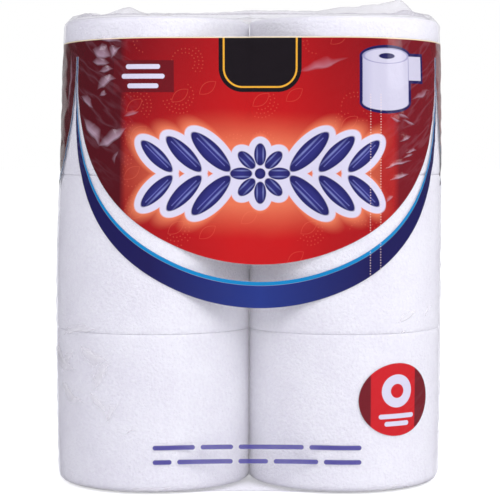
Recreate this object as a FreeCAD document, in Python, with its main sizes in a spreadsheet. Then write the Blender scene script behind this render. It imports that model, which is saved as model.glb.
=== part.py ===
import FreeCAD, Part
import math
import operator
import os
import Sketcher

# A pack of six toilet paper rolls, two columns of three on end, in printed clear film.
# Millimetres. The origin is the centre of the face that the pack stands on. The printed
# front faces -Y, +X is to its right and +Z is up.
SIZES = {
    # One roll. Its width is the sheet's width; the two columns press each other flat.
    "roll_width": 99.5,
    "roll_diameter": 125.0,
    "press_flat": 1.0,
    "roll_rim_bevel": 1.5,
    "end_rim_round": 4.0,
    "roll_clearance": 0.5,
    # The turns that show as rings on a roll's ends.
    "turn_ring_count": 5,
    "turn_ring_pitch": 7.0,
    "turn_ring_width": 1.0,
    "turn_ring_depth": 0.5,
    # The card core that the paper is wound on.
    "core_diameter": 42.0,
    "core_wall": 0.8,
    "core_clearance": 0.1,
    # The film: a tube drawn tight round both columns, with a shallow dip between them.
    "film_wall": 0.4,
    "film_clearance": 0.3,
    "film_dip": 5.0,
    "film_rim_round": 5.0,
    "lap_seal_width": 12.0,
    "lap_seal_thickness": 0.5,
    # The tube's ends, folded like a parcel: side gussets under a front and a back flap.
    "base_fold_layer": 0.6,
    "top_fold_layer": 0.6,
    "flap_inset": 12.0,
    "flap_corner_cut": 27.0,
    "flap_slant": 34.0,
    "flap_lap": 9.0,
    # Loose corners of the top fold that stand up from it.
    "ear_thickness": 0.8,
    "ear_depth_place": 34.0,
    "ear_start": 30.0,
    "ear_peak": 94.0,
    "ear_end": 104.0,
    "ear_rise": 9.5,
    "tuck_place": 77.0,
    "tuck_width": 26.0,
    "tuck_rise": 4.5,
    # The print: each ink is a thin coat on the film or on the ink below it.
    "ink_coat": 0.2,
    "ink_clearance": 0.1,
    "print_shift": 4.5,
    "field_top_drop": 13.5,
    "field_strip": 5.0,
    "front_field_margin": 13.7,
    "front_field_straight": 46.0,
    "front_field_drop": 97.3,
    "front_gap": 10.6,
    "front_gap_side": 1.3,
    "front_line": 2.6,
    "front_line_side": 0.8,
    "front_band": 15.0,
    "front_band_side": 2.2,
    "side_field_margin": 38.7,
    "side_field_straight": 39.0,
    "side_field_drop": 50.0,
    "side_gap": 2.6,
    "side_line": 1.0,
    "side_band": 2.4,
    "shade_left": 45.7,
    "shade_right": 30.7,
    # The sprig of leaves in the middle of the front, and the pale field round it.
    "sprig_drop": 86.0,
    "leaf_half_length": 17.0,
    "leaf_half_width": 5.8,
    "leaf_pairs": 3,
    "leaf_pitch": 17.0,
    "leaf_first": 31.0,
    "leaf_tilt": 45.0,
    "leaf_spread": 13.6,
    "leaf_taper": 0.1,
    "petal_count": 8,
    "petal_half_length": 7.0,
    "petal_half_width": 3.8,
    "petal_circle": 12.0,
    "flower_middle": 3.4,
    "pale_border": 4.2,
    # The tab at the top of the front.
    "tab_half_width": 26.0,
    "tab_height": 35.0,
    "tab_round": 15.0,
    "tab_line_inset": 2.6,
    "tab_line": 1.1,
    # The small roll drawn at the top right.
    "sign_place": 84.0,
    "sign_half_width": 14.5,
    "sign_drop": 13.0,
    "sign_height": 29.0,
    "sign_end_half": 5.0,
    "sign_core_half_width": 5.0,
    "sign_core_half_height": 1.8,
    "sign_border": 1.9,
    "sheet_width": 9.0,
    "sheet_height": 15.0,
    # The round seal at the bottom right, with a roll's end and two bars in it.
    "seal_place": 90.0,
    "seal_height": 61.0,
    "seal_radius": 22.5,
    "seal_ring_radius": 10.0,
    "seal_ring_hole": 4.0,
    "seal_ring_lift": 5.0,
    "seal_bar_width": 24.0,
    "seal_bar_height": 2.6,
    "seal_bar_drop": 10.0,
    "seal_bar_pitch": 4.6,
    # Rows of plain bars where such a pack has its small print.
    "row_bar_height": 3.0,
    "row_bar_gap": 3.6,
    "upper_row_height": 30.2,
    "lower_row_height": 21.4,
    "row_start": 61.0,
    "row_end": 71.0,
    "note_place": 85.0,
    "note_drop": 18.0,
    "note_pitch": 6.6,
    "note_bar_height": 2.6,
    "note_bar_width": 30.0,
}
COLUMNS = {"left": -1, "right": 1}
LAYERS = ["bottom", "middle", "top"]
UPPER_ROW = [0.22, 0.17, 0.34, 0.27]
LOWER_ROW = [0.1, 0.3, 0.16, 0.24, 0.2]
NOTE_LINES = [0.8, 1.0, 0.72]
SEAL_LINES = [1.0, 0.7]

doc = FreeCAD.newDocument("toilet_roll_pack")
sheet = doc.addObject("Spreadsheet::Sheet", "sizes")
for row, (alias, value) in enumerate(SIZES.items(), start=1):
    sheet.set(f"A{row}", alias)
    sheet.set(f"B{row}", str(value))
    sheet.setAlias(f"B{row}", alias)
doc.recompute()


class Size:
    """A size from the sheet, or a formula of such sizes, with the number that it has now."""

    def __init__(self, number, formula):
        self.number = number
        self.formula = formula

    def joined(self, sign, work, other):
        if not isinstance(other, Size):
            other = Size(other, f"({other})")
        return Size(work(self.number, other.number), f"({self.formula} {sign} {other.formula})")

    def __add__(self, other):
        return self.joined("+", operator.add, other)

    def __sub__(self, other):
        return self.joined("-", operator.sub, other)

    def __mul__(self, other):
        return self.joined("*", operator.mul, other)

    def __truediv__(self, other):
        return self.joined("/", operator.truediv, other)

    def __neg__(self):
        return self * -1


def size(alias):
    return Size(float(sheet.get(alias)), f"sizes.{alias}")


def number(alias):
    return float(sheet.get(alias))


# Places that follow from the driving sizes. The print hangs from the field's top edge.
roll_radius = size("roll_diameter") / 2
column_place = roll_radius - size("press_flat")
roll_step = size("roll_width") + size("roll_clearance")
film_base = size("base_fold_layer") * 2
first_roll = film_base + size("film_wall") + size("roll_clearance")
film_top = first_roll + roll_step * len(LAYERS) + size("film_wall")
film_inside = roll_radius + size("film_clearance")
film_outside = film_inside + size("film_wall")
dip_reach = (column_place * column_place + size("film_dip") * size("film_dip")) / (size("film_dip") * 2)
dip_radius = dip_reach - roll_radius
dip_middle = dip_reach - size("film_dip")
field_top = film_top - size("field_top_drop")
field_halves = {
    "front": column_place + film_outside - size("front_field_margin"),
    "side": film_outside - size("side_field_margin"),
}


def origin_plane(body, role):
    return next(plane for plane in body.Origin.OriginFeatures if plane.Role == role)


def new_sketch(body, name, role="XY_Plane", lift=None):
    """A sketch on one of its body's own planes, lifted off it by a size."""
    sketch = body.newObject("Sketcher::SketchObject", name)
    sketch.AttachmentSupport = [(origin_plane(body, role), "")]
    sketch.MapMode = "FlatFace"
    if lift is not None:
        sketch.setExpression("AttachmentOffset.Base.z", lift.formula)
    return sketch


def measure(sketch, kind, where, length):
    """Add a dimension to a sketch and tie it to the sheet."""
    index = sketch.addConstraint(Sketcher.Constraint(kind, *where, length.number))
    sketch.setExpression(f"Constraints[{index}]", length.formula)


def pin(sketch, edge, end, x, y):
    measure(sketch, "DistanceX", (-1, 1, edge, end), x)
    measure(sketch, "DistanceY", (-1, 1, edge, end), y)


def draw_circle(sketch, radius):
    edge = sketch.addGeometry(Part.Circle(FreeCAD.Vector(), FreeCAD.Vector(0, 0, 1), radius.number), False)
    sketch.addConstraint(Sketcher.Constraint("Coincident", edge, 3, -1, 1))
    measure(sketch, "Radius", (edge,), radius)


def draw_polygon(sketch, corners):
    """Draw a closed outline through corners, each pinned to the sketch's origin."""
    first = sketch.GeometryCount
    points = [FreeCAD.Vector(x.number, y.number, 0) for x, y in corners]
    for start, end in zip(points, points[1:] + points[:1]):
        sketch.addGeometry(Part.LineSegment(start, end), False)
    for side, (x, y) in enumerate(corners):
        following = first + (side + 1) % len(corners)
        sketch.addConstraint(Sketcher.Constraint("Coincident", first + side, 2, following, 1))
        pin(sketch, first + side, 1, x, y)


def add_pad(body, sketch, length, both_ways=False):
    pad = body.newObject("PartDesign::Pad", f"{sketch.Name}_pad")
    pad.Profile = sketch
    pad.Midplane = both_ways
    pad.setExpression("Length", length.formula)
    doc.recompute()
    return pad


def soften(body, base, kind, amount, heights):
    """Fillet or chamfer the outline edges of a body that lie flat at the given heights."""
    names = []
    for index, edge in enumerate(base.Shape.Edges, start=1):
        box = edge.BoundBox
        if any(abs(box.ZMin - z) + abs(box.ZMax - z) < 1e-3 for z in heights):
            if max(abs(box.XMin), abs(box.XMax)) > number("core_diameter"):
                names.append(f"Edge{index}")
    rim = body.newObject(f"PartDesign::{kind}", f"{body.Name}_rim_{len(body.Group)}")
    rim.Base = (base, names)
    rim.setExpression("Radius" if kind == "Fillet" else "Size", amount.formula)
    doc.recompute()
    return rim


# One roll: paper wound on a core, so a thick tube with rings on its ends. Its cut edges are
# a little soft, and the film's pull rounds the rims at the pack's two ends.
def make_roll(column, layer):
    name = f"roll_{LAYERS[layer]}_{column}"
    body = doc.addObject("PartDesign::Body", name)
    section = new_sketch(body, f"{name}_section")
    core_hole = size("core_diameter") / 2 + size("core_clearance")
    draw_circle(section, roll_radius)
    draw_circle(section, core_hole)
    wound = add_pad(body, section, size("roll_width"))
    for height, end_layer in ((0.0, 0), (number("roll_width"), len(LAYERS) - 1)):
        if layer == end_layer:
            wound = soften(body, wound, "Fillet", size("end_rim_round"), [height])
        else:
            wound = soften(body, wound, "Chamfer", size("roll_rim_bevel"), [height])

    rings = new_sketch(body, f"{name}_rings", "XZ_Plane")
    half = size("turn_ring_width") / 2
    depth = size("turn_ring_depth")
    top = size("roll_width")
    for ring in range(int(number("turn_ring_count"))):
        radius = core_hole + size("turn_ring_pitch") * (ring + 0.5)
        near = radius - half
        far = radius + half
        draw_polygon(rings, [(near, -depth), (far, -depth), (radius, depth)])
        draw_polygon(rings, [(near, top + depth), (radius, top - depth), (far, top + depth)])
    groove = body.newObject("PartDesign::Groove", f"{name}_turns")
    groove.Profile = rings
    groove.ReferenceAxis = (rings, ["V_Axis"])
    groove.Angle = 360
    doc.recompute()

    pressed = new_sketch(body, f"{name}_pressed")
    flat = column_place
    reach = size("roll_diameter")
    draw_polygon(pressed, [(flat, -reach), (reach, -reach), (reach, reach), (flat, reach)])
    pocket = body.newObject("PartDesign::Pocket", f"{name}_flat")
    pocket.Profile = pressed
    pocket.Reversed = True
    pocket.setExpression("Length", size("roll_width").formula)
    doc.recompute()
    if COLUMNS[column] > 0:
        body.Placement.Rotation = FreeCAD.Rotation(FreeCAD.Vector(0, 0, 1), 180)
    place(body, column, layer)
    return body


def place(body, column, layer):
    body.setExpression("Placement.Base.x", (column_place * COLUMNS[column]).formula)
    body.setExpression("Placement.Base.z", (first_roll + roll_step * layer).formula)


# One core: a tube of rolled card, as long as the roll is wide.
def make_core(column, layer):
    name = f"core_{LAYERS[layer]}_{column}"
    body = doc.addObject("PartDesign::Body", name)
    section = new_sketch(body, f"{name}_section")
    draw_circle(section, size("core_diameter") / 2)
    draw_circle(section, size("core_diameter") / 2 - size("core_wall"))
    add_pad(body, section, size("roll_width"))
    place(body, column, layer)
    return body


# The film's outline: an arc round each column, joined front and back by a shallow dip.
def draw_film_outline(sketch, round_columns, in_dips):
    slope = math.atan2(dip_middle.number, column_place.number)
    arcs = [
        (column_place.number, 0, round_columns, slope - math.pi, math.pi - slope),
        (0, dip_middle.number, in_dips, slope - math.pi, -slope),
        (-column_place.number, 0, round_columns, slope, 2 * math.pi - slope),
        (0, -dip_middle.number, in_dips, slope, math.pi - slope),
    ]
    for x, y, radius, start, end in arcs:
        circle = Part.Circle(FreeCAD.Vector(x, y, 0), FreeCAD.Vector(0, 0, 1), radius.number)
        sketch.addGeometry(Part.ArcOfCircle(circle, start, end), False)
    right, back, left, front = range(len(arcs))
    for column, far_end, near_end in ((right, 2, 1), (left, 1, 2)):
        sketch.addConstraint(Sketcher.Constraint("Tangent", column, far_end, back, far_end))
        sketch.addConstraint(Sketcher.Constraint("Tangent", column, near_end, front, near_end))
    measure(sketch, "DistanceX", (-1, 1, right, 3), column_place)
    measure(sketch, "DistanceX", (-1, 1, left, 3), -column_place)
    for column in (right, left):
        sketch.addConstraint(Sketcher.Constraint("PointOnObject", column, 3, -1))
    for column in (right, left):
        measure(sketch, "Radius", (column,), round_columns)
    for dip in (back, front):
        measure(sketch, "Radius", (dip,), in_dips)


# The end folds, as the raised plates that the folded layers of film make: the side gussets
# lie in the lower plate, and the front and back flaps come down over them.
def add_end_folds(body):
    half_x = column_place + film_outside - size("flap_inset")
    half_y = film_outside - size("flap_inset")
    cut = size("flap_corner_cut")
    flaps = [
        (-half_x + cut, -half_y),
        (half_x - cut, -half_y),
        (half_x, -half_y + cut),
        (half_x, half_y - cut),
        (half_x - cut, half_y),
        (-half_x + cut, half_y),
        (-half_x, half_y - cut),
        (-half_x, -half_y + cut),
    ]
    gusset = film_outside - size("film_rim_round")
    base_layer = size("base_fold_layer")
    top_layer = size("top_fold_layer")

    base_flaps = new_sketch(body, "base_flaps")
    draw_polygon(base_flaps, flaps)
    add_pad(body, base_flaps, film_base)
    base_gussets = new_sketch(body, "base_gussets", lift=base_layer)
    draw_film_outline(base_gussets, gusset, dip_reach - gusset)
    add_pad(body, base_gussets, base_layer)

    top_gussets = new_sketch(body, "top_gussets", lift=film_top)
    draw_film_outline(top_gussets, gusset, dip_reach - gusset)
    add_pad(body, top_gussets, top_layer)
    broad = half_x - cut
    narrow = half_x - cut - size("flap_slant")
    lap = size("flap_lap")
    back_flap = new_sketch(body, "top_back_flap", lift=film_top)
    draw_polygon(back_flap, [(-narrow, -lap), (narrow, -lap), (broad, half_y), (-broad, half_y)])
    add_pad(body, back_flap, top_layer * 2)
    front_flap = new_sketch(body, "top_front_flap", lift=film_top)
    draw_polygon(front_flap, [(-broad, -half_y), (broad, -half_y), (narrow, lap), (-narrow, lap)])
    add_pad(body, front_flap, top_layer * 3)


# The ears: corners of the top fold that the seal didn't catch, standing up as thin fins.
def add_ears(body):
    root = film_top
    fold = film_top + size("top_fold_layer") * 3
    ear = new_sketch(body, "top_ear", "XZ_Plane", lift=size("ear_depth_place"))
    draw_polygon(ear, [
        (size("ear_start"), root),
        (size("ear_end"), root),
        (size("ear_end"), fold),
        (size("ear_peak"), film_top + size("ear_rise")),
    ])
    add_pad(body, ear, size("ear_thickness"), both_ways=True)
    half = size("tuck_width") / 2
    tuck = new_sketch(body, "top_tuck", "XZ_Plane", lift=size("ear_depth_place"))
    draw_polygon(tuck, [
        (-size("tuck_place") - half, root),
        (-size("tuck_place") + half, root),
        (-size("tuck_place"), film_top + size("tuck_rise")),
    ])
    add_pad(body, tuck, size("ear_thickness"), both_ways=True)


# The wrap: one tube of clear film with its ends folded over and sealed, and a lap seal
# up the back. It closes round all six rolls.
def make_film():
    outer = doc.addObject("PartDesign::Body", "film_outer")
    outline = new_sketch(outer, "film_outline", lift=film_base)
    draw_film_outline(outline, film_outside, dip_radius - (film_outside - roll_radius))
    tube = add_pad(outer, outline, film_top - film_base)
    soften(outer, tube, "Fillet", size("film_rim_round"), [film_base.number, film_top.number])
    add_end_folds(outer)
    add_ears(outer)
    half = size("lap_seal_width") / 2
    wall_middle = film_inside - size("film_dip") + size("film_wall") / 2
    seal_face = film_outside - size("film_dip") + size("lap_seal_thickness")
    seal_foot = film_base + size("film_rim_round")
    seal_head = film_top - size("film_rim_round")
    seal = new_sketch(outer, "lap_seal", lift=seal_foot)
    draw_polygon(seal, [(-half, wall_middle), (half, wall_middle), (half, seal_face), (-half, seal_face)])
    add_pad(outer, seal, seal_head - seal_foot)

    inner = doc.addObject("PartDesign::Body", "film_hollow")
    hollow = new_sketch(inner, "hollow_outline", lift=film_base + size("film_wall"))
    draw_film_outline(hollow, film_inside, dip_radius - size("film_clearance"))
    space = add_pad(inner, hollow, film_top - film_base - size("film_wall") * 2)
    hollow_heights = [film_base.number + number("film_wall"), film_top.number - number("film_wall")]
    soften(inner, space, "Fillet", size("film_rim_round") - size("film_wall"), hollow_heights)

    film = doc.addObject("Part::Cut", "film_wrap")
    film.Base = outer
    film.Tool = inner
    return film


# The print is laid on the film in coats. A coat is the film's own outline, thickened
# outwards, and each coloured shape is cut out of it by a prism that points at it.
def film_prism(offset):
    """The film's outline at an offset from the rolls, between its two rounded rims."""
    wide = roll_radius.number + offset
    dip = dip_radius.number - offset
    share = wide / dip_reach.number
    touch_x = column_place.number * (1 - share)
    touch_y = dip_middle.number * share
    side_x = column_place.number + wide
    dip_y = dip_middle.number - dip
    foot = film_base.number + number("film_rim_round")
    head = film_top.number - number("film_rim_round")

    def point(x, y):
        return FreeCAD.Vector(x, y, foot)

    arcs = [
        Part.Arc(point(touch_x, -touch_y), point(side_x, 0), point(touch_x, touch_y)),
        Part.Arc(point(touch_x, touch_y), point(0, dip_y), point(-touch_x, touch_y)),
        Part.Arc(point(-touch_x, touch_y), point(-side_x, 0), point(-touch_x, -touch_y)),
        Part.Arc(point(-touch_x, -touch_y), point(0, -dip_y), point(touch_x, -touch_y)),
    ]
    wire = Part.Wire([arc.toShape() for arc in arcs])
    return Part.Face(wire).extrude(FreeCAD.Vector(0, 0, head - foot))


def coat(layer):
    """Coat 1 lies on the film and each further coat on the one before."""
    step = number("ink_coat") + number("ink_clearance")
    outer = film_outside.number - roll_radius.number + step * layer
    return film_prism(outer).cut(film_prism(outer - number("ink_coat")))


def slab(low, high):
    """A block that takes in the whole pack between two heights."""
    side = number("roll_diameter") * 4
    corner = FreeCAD.Vector(-side / 2, -side / 2, low)
    return Part.makeBox(side, side, high - low, corner)


# The printed shapes are faces in the XZ plane, as the pack is seen from its front.
def oval(x, z, half_width, half_height, tilt=0.0):
    if half_height > half_width:
        half_width, half_height = half_height, half_width
        tilt += 90
    curve = Part.Ellipse(FreeCAD.Vector(), half_width, half_height)
    face = Part.Face(Part.Wire(curve.toShape()))
    face.rotate(FreeCAD.Vector(), FreeCAD.Vector(0, 0, 1), tilt)
    face.rotate(FreeCAD.Vector(), FreeCAD.Vector(1, 0, 0), 90)
    face.translate(FreeCAD.Vector(x, 0, z))
    return face


def panel(x_low, x_high, z_low, z_high):
    corners = [(x_low, z_low), (x_high, z_low), (x_high, z_high), (x_low, z_high), (x_low, z_low)]
    return Part.Face(Part.makePolygon([FreeCAD.Vector(x, 0, z) for x, z in corners]))


def bar(x, z, width, height):
    """A bar with round ends."""
    end = height / 2
    left = x - width / 2 + end
    right = x + width / 2 - end
    low_left = FreeCAD.Vector(left, 0, z - end)
    low_right = FreeCAD.Vector(right, 0, z - end)
    high_left = FreeCAD.Vector(left, 0, z + end)
    high_right = FreeCAD.Vector(right, 0, z + end)
    return Part.Face(Part.Wire([
        Part.makeLine(low_left, low_right),
        Part.Arc(low_right, FreeCAD.Vector(right + end, 0, z), high_right).toShape(),
        Part.makeLine(high_right, high_left),
        Part.Arc(high_left, FreeCAD.Vector(left - end, 0, z), low_left).toShape(),
    ]))


def joined(shapes):
    return shapes[0].multiFuse(shapes[1:]).removeSplitter()


def pointed(face, degrees=0):
    """The prism from a face out past the print. The degrees turn it from the front to
    another side."""
    prism = face.extrude(FreeCAD.Vector(0, -number("roll_diameter") * 2, 0))
    prism.rotate(FreeCAD.Vector(), FreeCAD.Vector(0, 0, 1), degrees)
    return prism


def lobe(side, grown_side, grown_down, head):
    """A hanging shape: straight sides above its middle and half an ellipse below."""
    shift = number("print_shift")
    half = field_halves[side].number + grown_side
    middle = field_top.number - number(f"{side}_field_straight")
    drop = number(f"{side}_field_drop") + grown_down
    whole = joined([
        panel(shift - half, shift + half, middle, head),
        oval(shift, middle, half, drop),
    ])
    return whole.common(panel(shift - half, shift + half, middle - drop, head))


def four_sides(coats, front_face, side_face):
    """The same print on the front and the back, and its narrow form on the two ends."""
    pieces = []
    for face, turn in ((front_face, 0), (front_face, 180), (side_face, 90), (side_face, -90)):
        pieces += coats.common(pointed(face, turn)).Solids
    return pieces


def field_pieces(coats):
    """The field hangs in four lobes from a strip round the pack's top. Round each lobe lie
    a clear gap, a thin bright line and a broad dark band."""
    strip_foot = field_top.number - number("field_strip")
    grown = {"front": [(0.0, 0.0)], "side": [(0.0, 0.0)]}
    for border in ("gap", "line", "band"):
        across, down = grown["front"][-1]
        across += number(f"front_{border}_side")
        down += number(f"front_{border}")
        grown["front"].append((across, down))
        even = grown["side"][-1][0] + number(f"side_{border}")
        grown["side"].append((even, even))
    shapes = []
    for side in ("front", "side"):
        field, gap, line, band = [lobe(side, across, down, strip_foot) for across, down in grown[side]]
        shapes.append((field, line.cut(gap), band.cut(line)))
    field, line, band = [four_sides(coats, front, side) for front, side in zip(*shapes)]
    strip = coats.common(slab(strip_foot, field_top.number))
    return joined([strip] + field), line, band


def sprig(border):
    """Leaves in pairs along a stem on both sides of a flower, each grown by the border."""
    shift = number("print_shift")
    height = field_top.number - number("sprig_drop")
    shapes = []
    for side in (-1, 1):
        for pair in range(int(number("leaf_pairs"))):
            small = 1 - number("leaf_taper") * pair
            away = side * (number("leaf_first") + number("leaf_pitch") * pair)
            for up in (-1, 1):
                shapes.append(oval(
                    shift + away,
                    height + up * number("leaf_spread") * small,
                    number("leaf_half_length") * small + border,
                    number("leaf_half_width") * small + border,
                    side * up * number("leaf_tilt"),
                ))
    shapes.append(oval(shift, height, number("flower_middle"), number("flower_middle")))
    petals = int(number("petal_count"))
    for petal in range(petals):
        turn = 360 * petal / petals
        shapes.append(oval(
            shift + number("petal_circle") * math.cos(math.radians(turn)),
            height + number("petal_circle") * math.sin(math.radians(turn)),
            number("petal_half_length") + border,
            number("petal_half_width") + border,
            turn,
        ))
    return joined(shapes)


def tab(inset):
    """The tab that hangs from the field's top edge, with round corners at its foot."""
    half = number("tab_half_width") - inset
    head = field_top.number
    foot = head - number("tab_height") + inset
    corner = number("tab_round") - inset
    shift = number("print_shift")
    return joined([
        panel(shift - half, shift + half, foot + corner, head),
        panel(shift - half + corner, shift + half - corner, foot, head),
        oval(shift - half + corner, foot + corner, corner, corner),
        oval(shift + half - corner, foot + corner, corner, corner),
    ])


def sign(border):
    """A roll seen from a little above, with its last sheet hanging at the right."""
    x = number("sign_place")
    half = number("sign_half_width") + border
    end = number("sign_end_half") + border
    head = field_top.number - number("sign_drop")
    foot = head - number("sign_height")
    edge = x + number("sign_half_width")
    sheet_foot = head - number("sheet_height") - border
    return joined([
        panel(x - half, x + half, foot, head),
        oval(x, foot, half, end),
        oval(x, head, half, end),
        panel(edge - border, edge + number("sheet_width") + border, sheet_foot, head + border),
    ])


def sign_core():
    half_width = number("sign_core_half_width")
    half_height = number("sign_core_half_height")
    return oval(number("sign_place"), field_top.number - number("sign_drop"), half_width, half_height)


def text_rows():
    """Two rows of bars, each row filled by bars of uneven length."""
    shapes = []
    gap = number("row_bar_gap")
    for shares, height in ((UPPER_ROW, "upper_row_height"), (LOWER_ROW, "lower_row_height")):
        filled = number("row_start") + number("row_end") - gap * (len(shares) - 1)
        start = -number("row_start")
        for share in shares:
            long = filled * share
            shapes.append(bar(start + long / 2, number(height), long, number("row_bar_height")))
            start += long + gap
    return shapes


def note_bars():
    shapes = []
    for line, share in enumerate(NOTE_LINES):
        long = number("note_bar_width") * share
        height = field_top.number - number("note_drop") - number("note_pitch") * line
        shapes.append(bar(-number("note_place") + long / 2, height, long, number("note_bar_height")))
    return shapes


def seal_marks():
    x = number("seal_place")
    ring_height = number("seal_height") + number("seal_ring_lift")
    ring = oval(x, ring_height, number("seal_ring_radius"), number("seal_ring_radius"))
    hole = oval(x, ring_height, number("seal_ring_hole"), number("seal_ring_hole"))
    shapes = [ring.cut(hole)]
    for line, share in enumerate(SEAL_LINES):
        drop = number("seal_bar_drop") + number("seal_bar_pitch") * line
        width = number("seal_bar_width") * share
        shapes.append(bar(x, number("seal_height") - drop, width, number("seal_bar_height")))
    return shapes


def printed(coats, *faces):
    """The solids that a coat keeps under the given faces."""
    return coats.common(Part.makeCompound([pointed(face) for face in faces]))


def make_inks(film):
    """One node for each ink, from coats cut to the shapes that the ink prints."""
    on_film = coat(1).cut(film.Shape)
    on_field = coat(2)
    on_pale = coat(3)
    on_top = coat(4)
    field, line, band = field_pieces(on_film)
    top = field_top.number
    edge = (column_place + film_outside).number
    far = edge * 2
    shades = [
        panel(-far, number("shade_left") - edge, 0, top),
        panel(edge - number("shade_right"), far, 0, top),
    ]
    shade = Part.makeCompound([pointed(face, turn) for face in shades for turn in (0, 180)])
    seal = oval(number("seal_place"), number("seal_height"), number("seal_radius"), number("seal_radius"))
    rim = number("tab_line_inset")
    rim_inside = rim + number("tab_line")

    inks = {
        "ink_red": [field.cut(shade), printed(on_film, seal)],
        "ink_maroon": [field.common(shade)],
        "ink_sky": line,
        "ink_navy": [
            *band,
            printed(on_film, *text_rows()),
            printed(on_field, sign(number("sign_border"))),
            printed(on_pale, sprig(0.0)),
            printed(on_top, sign_core()),
        ],
        "ink_white": [
            printed(on_field, sprig(number("pale_border"))),
            printed(on_field, *note_bars(), *seal_marks()),
            printed(on_pale, sign(0.0)),
        ],
        "ink_black": [printed(on_field, tab(0.0))],
        "ink_gold": [printed(on_pale, tab(rim).cut(tab(rim_inside)))],
    }
    made = []
    for name, pieces in inks.items():
        node = doc.addObject("Part::Feature", name)
        node.Shape = Part.makeCompound([solid for piece in pieces for solid in piece.Solids])
        node.Placement = FreeCAD.Placement()
        made.append(node)
    return made


film_wrap = make_film()
doc.recompute()
nodes = [film_wrap]
for column_name in COLUMNS:
    for layer_index in range(len(LAYERS)):
        nodes.append(make_roll(column_name, layer_index))
        nodes.append(make_core(column_name, layer_index))
nodes += make_inks(film_wrap)
doc.recompute()

for item in doc.Objects:
    if "Invalid" in item.State or "Error" in item.State:
        raise RuntimeError(f"{item.Name} did not build: {item.State}")
for node in nodes:
    node.Label = node.Name
    if node.Shape.isNull() or not node.Shape.isValid():
        raise RuntimeError(f"{node.Label} has no valid shape")

os.makedirs("parts", exist_ok=True)
for node in nodes:
    node.Shape.exportStep(f"parts/{node.Label}.step")
    print(node.Label, len(node.Shape.Solids), "solids,", round(node.Shape.Volume), "mm3")
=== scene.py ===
import math
import bmesh
import bpy
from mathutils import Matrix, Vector, noise


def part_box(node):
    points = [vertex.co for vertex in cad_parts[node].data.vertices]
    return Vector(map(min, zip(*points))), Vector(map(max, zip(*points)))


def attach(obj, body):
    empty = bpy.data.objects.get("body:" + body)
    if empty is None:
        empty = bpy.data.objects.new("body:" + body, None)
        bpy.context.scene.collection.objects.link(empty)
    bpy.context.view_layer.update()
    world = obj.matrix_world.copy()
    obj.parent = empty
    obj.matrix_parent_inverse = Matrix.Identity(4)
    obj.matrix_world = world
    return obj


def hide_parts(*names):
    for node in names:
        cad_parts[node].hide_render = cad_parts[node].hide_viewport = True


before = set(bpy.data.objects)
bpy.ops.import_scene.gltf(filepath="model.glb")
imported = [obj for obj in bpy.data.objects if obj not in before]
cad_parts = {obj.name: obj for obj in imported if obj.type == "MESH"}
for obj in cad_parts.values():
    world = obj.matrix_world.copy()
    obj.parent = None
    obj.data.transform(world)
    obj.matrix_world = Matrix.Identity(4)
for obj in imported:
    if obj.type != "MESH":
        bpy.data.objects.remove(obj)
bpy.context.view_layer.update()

MM = 0.001

# The view: a long lens 1.2 m in front of the pack and a little above its middle.
scene = bpy.context.scene
scene.view_settings.view_transform = "Standard"
view = bpy.data.cameras.new("view")
view.sensor_width = 36
view.lens = 130.86
view.clip_end = 50
camera = bpy.data.objects.new("view", view)
camera.location = (0.0006, -1.2, 0.2166)
camera.rotation_euler = (math.radians(86.91), 0, 0)
scene.collection.objects.link(camera)
scene.camera = camera


class Wire:
    """A node's output. An expression on wires adds Math nodes to their tree."""

    def __init__(self, shader, socket):
        self.shader = shader
        self.socket = socket

    def maths(self, operation, *others, clamp=False):
        settings = {"operation": operation, "use_clamp": clamp}
        return self.shader.add("ShaderNodeMath", settings, dict(enumerate((self,) + others)))

    def reflected(self, operation, other):
        return self.shader.add("ShaderNodeMath", {"operation": operation}, {0: other, 1: self})

    def __add__(self, other):
        return self.maths("ADD", other)

    def __radd__(self, other):
        return self.reflected("ADD", other)

    def __sub__(self, other):
        return self.maths("SUBTRACT", other)

    def __rsub__(self, other):
        return self.reflected("SUBTRACT", other)

    def __mul__(self, other):
        return self.maths("MULTIPLY", other)

    def __rmul__(self, other):
        return self.reflected("MULTIPLY", other)

    def __truediv__(self, other):
        return self.maths("DIVIDE", other)

    def __rtruediv__(self, other):
        return self.reflected("DIVIDE", other)

    def __abs__(self):
        return self.maths("ABSOLUTE")

    def __pow__(self, power):
        return self.maths("POWER", power)

    def within(self, low, high):
        """0 below the low value and 1 above the high one, in a straight line between."""
        return ((self - low) / (high - low)).maths("ADD", 0.0, clamp=True)


class Shader:
    """A node tree that starts empty."""

    def __init__(self, owner):
        owner.use_nodes = True
        self.tree = owner.node_tree
        self.tree.nodes.clear()

    def add(self, kind, settings=None, sockets=None, output=0):
        node = self.tree.nodes.new(kind)
        for name, value in (settings or {}).items():
            setattr(node, name, value)
        for name, value in (sockets or {}).items():
            if isinstance(value, Wire):
                self.tree.links.new(value.socket, node.inputs[name])
            else:
                node.inputs[name].default_value = value
        return Wire(self, node.outputs[output]) if node.outputs else None

    def split(self, vector):
        """The three numbers of a vector."""
        node = self.add("ShaderNodeSeparateXYZ", {}, {0: vector}).socket.node
        return [Wire(self, socket) for socket in node.outputs]

    def blend(self, factor, first, second):
        """A colour that goes from the first to the second as the factor goes from 0 to 1."""
        return self.add("ShaderNodeMix", {"data_type": "RGBA"}, {0: factor, 6: first, 7: second}, 2)


def srgb(red, green, blue):
    """The linear colour of one that is given as a screen shows it, from 0 to 255."""
    return tuple(((part / 255 + 0.055) / 1.055) ** 2.4 for part in (red, green, blue)) + (1.0,)


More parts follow.
